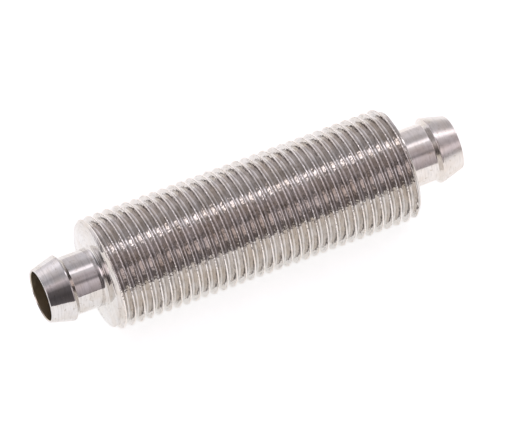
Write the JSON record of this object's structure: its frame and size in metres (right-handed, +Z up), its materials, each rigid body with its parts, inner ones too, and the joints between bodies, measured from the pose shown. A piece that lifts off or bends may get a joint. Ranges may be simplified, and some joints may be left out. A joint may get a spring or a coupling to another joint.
{
  "type": "in-line carbon dioxide diffuser",
  "caption": "Threaded metal in-line gas fitting with a hose nipple at each end, a spring-loaded non-return poppet and a porous thimble inside.",
  "frame": {"origin": "middle of the threaded stretch, on the fitting's axis", "axes": "+X along the axis towards the inlet nipple, -X towards the outlet nipple, +Z up as it lies in use across a vertical panel"},
  "size_m": [0.045, 0.0118, 0.0118],
  "materials": {
    "nickel_plate": "bright nickel plating over turned brass",
    "bare_brass": "turned, unplated",
    "spring_steel": "drawn stainless wire",
    "seal_rubber": "matt black moulded rubber",
    "porous_ceramic": "fine sintered grain, unglazed"
  },
  "bodies": {
    "housing": {"threaded_body": "nickel_plate", "inlet_plug": "nickel_plate", "plug_o_ring": "seal_rubber", "holder_gasket": "seal_rubber", "thimble_holder": "bare_brass", "diffuser_thimble": "porous_ceramic", "poppet_guide": "bare_brass", "spacer_tube": "bare_brass", "valve_spring": "spring_steel"},
    "valve": {"poppet": "bare_brass", "poppet_seal": "seal_rubber"}
  },
  "joints": [
    {"name": "poppet_lift", "type": "slide", "parent": "housing", "child": "valve", "axis": [-1, 0, 0], "range_m": [0, 0.0012], "stiffness_N_per_m": 870, "springref_m": -0.00035, "deforming": ["valve_spring"]}
  ]
}
